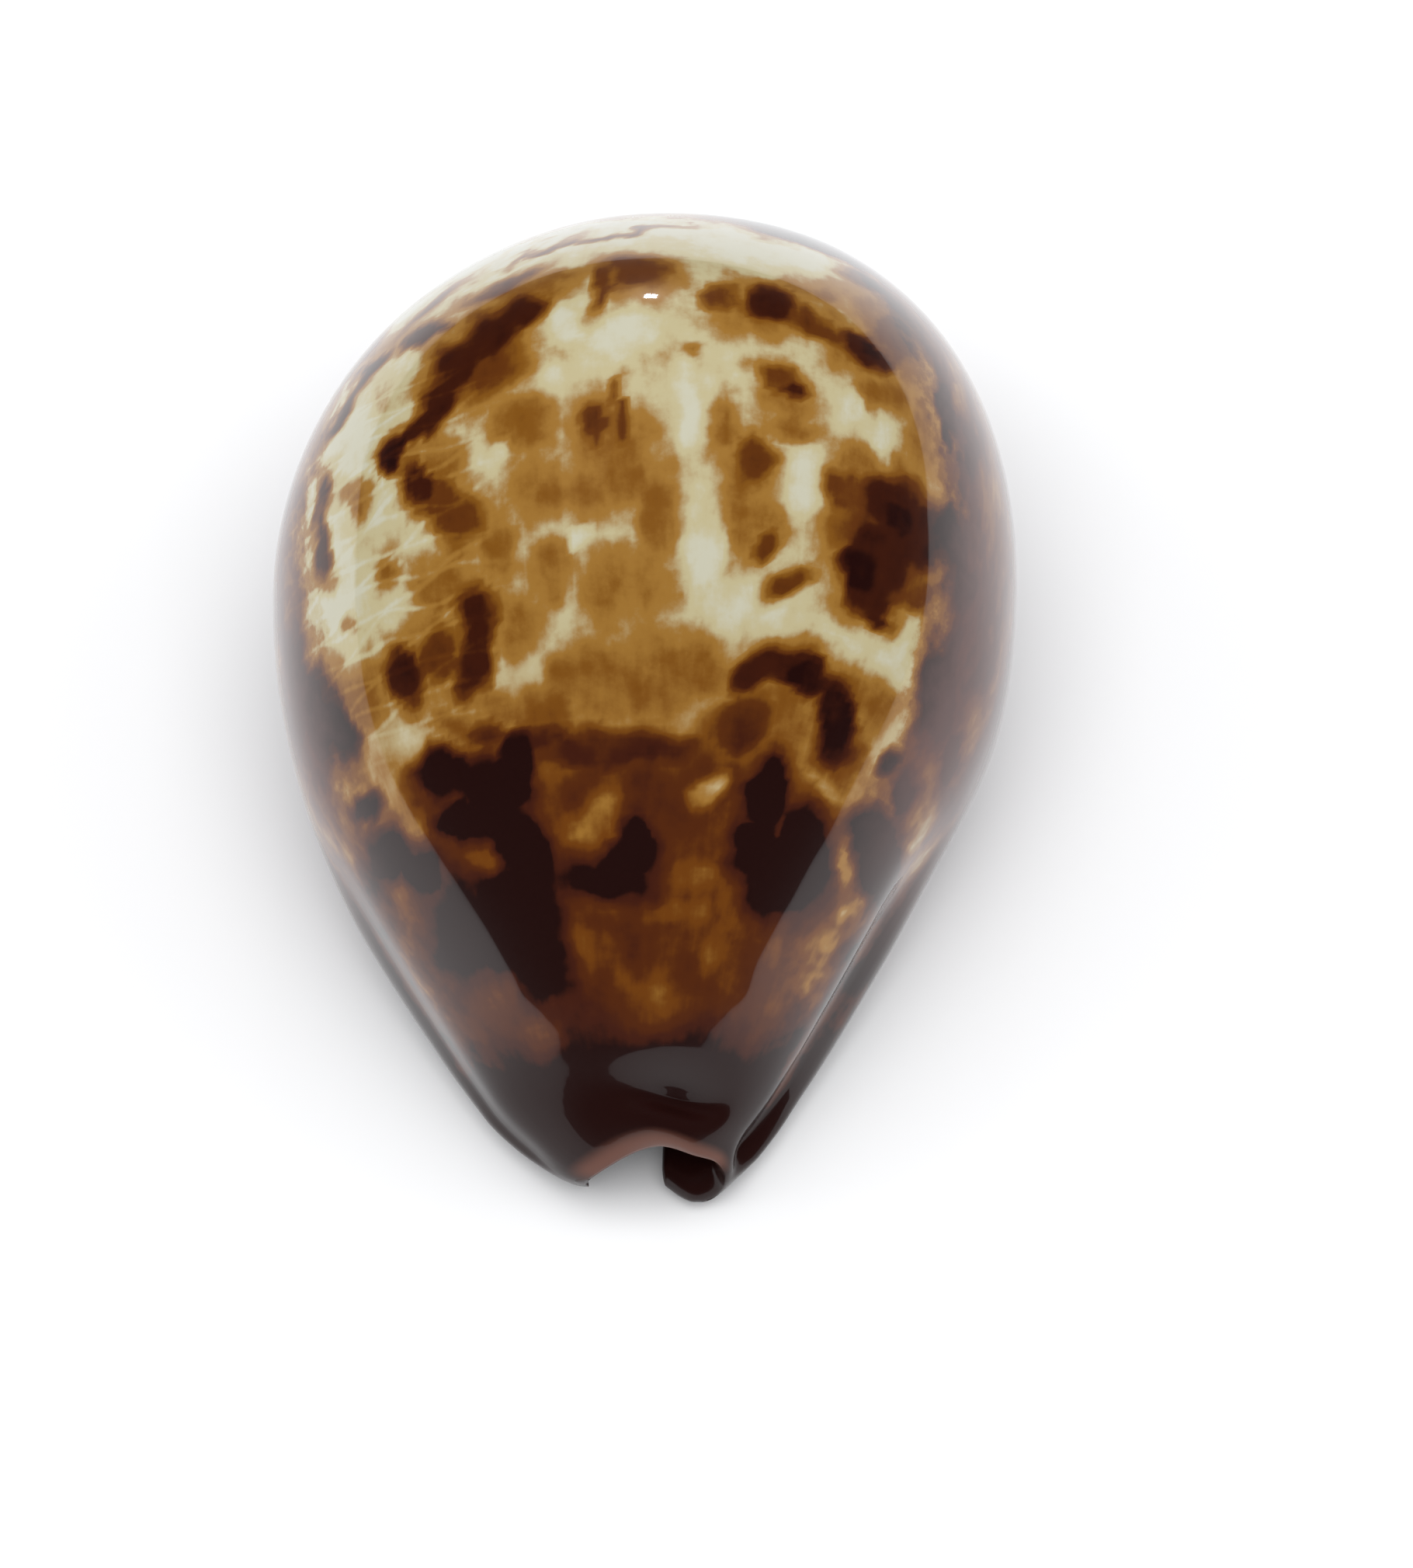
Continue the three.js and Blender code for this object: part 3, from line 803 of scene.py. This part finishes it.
def pigmentDensity(n, spot, cloud, margin, place, around, along):
    look = glazeLook["pigment"]
    patching = glazeLook["patching"]
    stretched = n.stretch(spot, patching["stretch"])
    patches = centred(n, stretched, patching["scale"], patching["detail"], patching["roughness"])
    patched = n.total(n.span(margin, *look["patchedSides"]), n.span(along, *look["patchedAlong"]))
    edging = n.total(*[n.span(margin, *part) for part in look["margin"]])
    sideways = n.math("ABSOLUTE", around)
    rear = n.total(along, n.product(cloud, glazeLook["rearWander"]))
    laid = n.total(n.attribute("pigment", "Fac"), n.span(along, *look["frontAlong"]))
    return n.total(
        n.math("MAXIMUM", laid, 0.0),
        n.product(cloud, look["cloud"]),
        n.product(streaking(n, place), look["streak"]),
        n.product(edging, n.span(along, *look["marginAlong"])),
        n.total(n.span(sideways, *look["underside"]), n.span(sideways, *look["teeth"])),
        n.product(patches, patched),
        *[n.span(rear, *part) for part in look["rearAlong"]],
        n.product(growthLines(n, spot, around, along), look["growth"]),
        n.span(along, *look["tipAlong"]),
        clamp=True,
    )


def glazeColour(n, spot, place):
    look = glazeLook
    parts = n.add("ShaderNodeSeparateXYZ")
    n.put(place, parts.inputs[0])
    around, along, within = parts.outputs
    clouding = look["clouding"]
    cloud = centred(n, spot, clouding["scale"], clouding["detail"], clouding["roughness"])
    margin = marginPlace(n, cloud, around, along)
    density = pigmentDensity(n, spot, cloud, margin, place, around, along)
    back, front = n.ramp(density, look["back"]), n.ramp(density, look["front"])
    colour = n.blend(n.span(along, *look["frontAlong"]), back, front)

    # Painted sheen: a mauve-brown tint mixed over the margins, fading out towards the front end, standing in
    # for the floor's reflection.
    paintedSheen = n.product(n.span(margin, *look["paintedSheen"]["margin"]), n.span(along, *look["paintedSheen"]["along"]))
    colour = n.blend(paintedSheen, colour, fromScreen(*look["paintedSheen"]["colour"]))
    sideways = n.math("ABSOLUTE", around)
    # Painted highlight: a pinkish line along the top of the front end's rim.
    rim = n.product(n.span(along, *look["rim"]["along"]), n.span(sideways, *look["rim"]["round"]))
    colour = n.blend(rim, colour, fromScreen(*look["rim"]["colour"]))
    inner = look["lining"]
    lining = n.ramp(n.noise(spot, inner["scale"]), inner["colours"])
    deep = n.product(n.span(along, *inner["frontAlong"]), n.span(along, *inner["backAlong"]))
    return n.blend(n.product(within, deep), colour, lining), n.span(along, *look["coatAlong"])


def makeGlaze(shell):
    material = bpy.data.materials.new("cowrieGlaze")
    material.use_nodes = True
    tree = material.node_tree
    tree.nodes.clear()
    n = Nodes(tree)
    output = n.add("ShaderNodeOutputMaterial")
    glaze = n.add("ShaderNodeBsdfPrincipled")
    n.put(glaze.outputs["BSDF"], output.inputs["Surface"])

    place = n.attribute("place", "Vector")
    metres = n.add("ShaderNodeTexCoord").outputs["Object"]
    spot = n.stretch(metres, (1 / mm, 1 / mm, 1 / mm))
    colour, coat = glazeColour(n, spot, place)
    look = glazeLook["ripples"]
    ripple = n.add("ShaderNodeBump")
    height = n.noise(n.stretch(place, look["stretch"]), 1.0)
    n.fill(ripple, Strength=look["strength"], Distance=look["height"], Height=height)
    waved = ripple.outputs["Normal"]
    n.fill(glaze, **glazeLook["gloss"])
    n.fill(glaze, **{"Base Color": colour, "Coat Weight": coat, "Normal": waved, "Coat Normal": waved})
    shell.data.materials.append(material)


makeGlaze(shell)
print("shell glazed")

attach(shell, "root")
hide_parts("shell")

studio = {
    "floorSize": 3.0,
    "floorColour": (0.86, 0.86, 0.86, 1),
    "floorRoughness": 0.9,
    "skyColour": (0.96, 0.97, 1.0, 1),
    "skyStrength": 0.62,
}
lamps = {  # only the small one shows as a glint, and it lights nothing else
    "overhead": {"place": (0, -0.1, 0.9), "size": 0.9, "power": 6, "glint": False},
    "behind": {"place": (0.02, 1.0, 0.62), "size": 0.05, "power": 2.0, "glint": True},
    "left": {"place": (-0.9, 0.1, 0.5), "size": 0.7, "power": 2, "glint": False},
    "right": {"place": (0.9, 0.1, 0.5), "size": 0.7, "power": 2, "glint": False},
}


def makeFloor():
    bm = bmesh.new()
    bmesh.ops.create_grid(bm, x_segments=1, y_segments=1, size=studio["floorSize"] / 2)
    mesh = bpy.data.meshes.new("floor")
    bm.to_mesh(mesh)
    bm.free()
    floor = bpy.data.objects.new("floor", mesh)
    bpy.context.scene.collection.objects.link(floor)
    paper = bpy.data.materials.new("palePaper")
    paper.use_nodes = True
    sheet = paper.node_tree.nodes["Principled BSDF"]
    sheet.inputs["Base Color"].default_value = studio["floorColour"]
    sheet.inputs["Roughness"].default_value = studio["floorRoughness"]
    mesh.materials.append(paper)


def makeLights():
    for name, lamp in lamps.items():
        data = bpy.data.lights.new(name, "AREA")
        data.size = lamp["size"]
        data.energy = lamp["power"]
        light = bpy.data.objects.new(name, data)
        light.location = lamp["place"]
        light.rotation_euler = (-Vector(lamp["place"])).to_track_quat("-Z", "Y").to_euler()
        light.visible_glossy = lamp["glint"]
        light.visible_diffuse = not lamp["glint"]
        bpy.context.scene.collection.objects.link(light)

    world = bpy.data.worlds.new("studio")
    world.use_nodes = True
    sky = world.node_tree.nodes["Background"]
    sky.inputs["Color"].default_value = studio["skyColour"]
    sky.inputs["Strength"].default_value = studio["skyStrength"]
    world.cycles_visibility.glossy = False  # the sky isn't mirrored, so the blacks stay black
    bpy.context.scene.world = world


makeFloor()
makeLights()
bpy.context.scene.view_settings.view_transform = "Standard"
print("studio lit")
